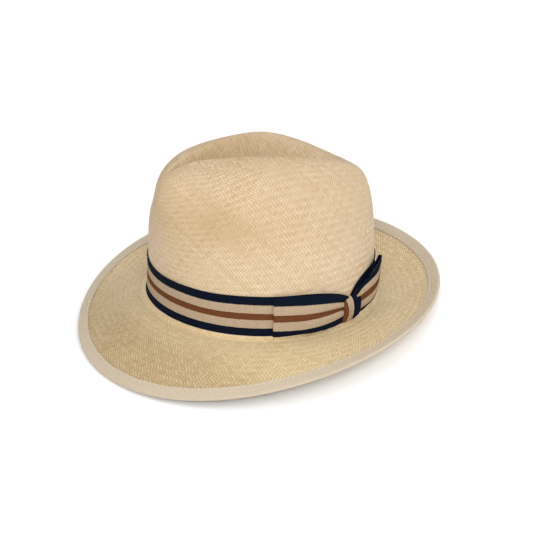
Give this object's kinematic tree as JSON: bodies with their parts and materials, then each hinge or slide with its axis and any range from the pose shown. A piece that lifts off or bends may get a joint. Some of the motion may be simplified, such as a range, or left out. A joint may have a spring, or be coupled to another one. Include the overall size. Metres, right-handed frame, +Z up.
{
  "type": "fedora hat",
  "caption": "Woven straw fedora with a teardrop crown dent, a striped ribbon band with a side bow, and a ribbon-bound brim that dips at the front.",
  "frame": {"origin": "on the table, under the middle of the brim's length and width", "axes": "-Y to the front of the hat, +X to the wearer's left (the bow's side), +Z up from the table"},
  "size_m": [0.29, 0.3285, 0.1647],
  "materials": {
    "straw": "woven, matt",
    "binding": "ribbed ribbon, soft sheen",
    "thread": "matt",
    "dark_thread": "matt",
    "striped_ribbon": "ribbed ribbon, soft sheen",
    "knot_ribbon": "ribbed ribbon, soft sheen",
    "leather": "smooth, satin",
    "tape": "ribbed tape",
    "label": "woven satin"
  },
  "bodies": {
    "root": {"straw_body": "straw", "brim_binding": "binding", "binding_stitches": "thread", "hatband_ribbon": "striped_ribbon", "band_tacks": "dark_thread", "bow_backing": "striped_ribbon", "bow_front_loop": "striped_ribbon", "bow_rear_loop": "striped_ribbon", "bow_under_tail": "striped_ribbon", "bow_knot": "knot_ribbon", "sweatband": "leather", "sweatband_reed": "leather", "sweatband_stitches": "thread", "sweatband_join_tape": "tape", "size_label": "label", "care_label": "label"}
  },
  "joints": []
}
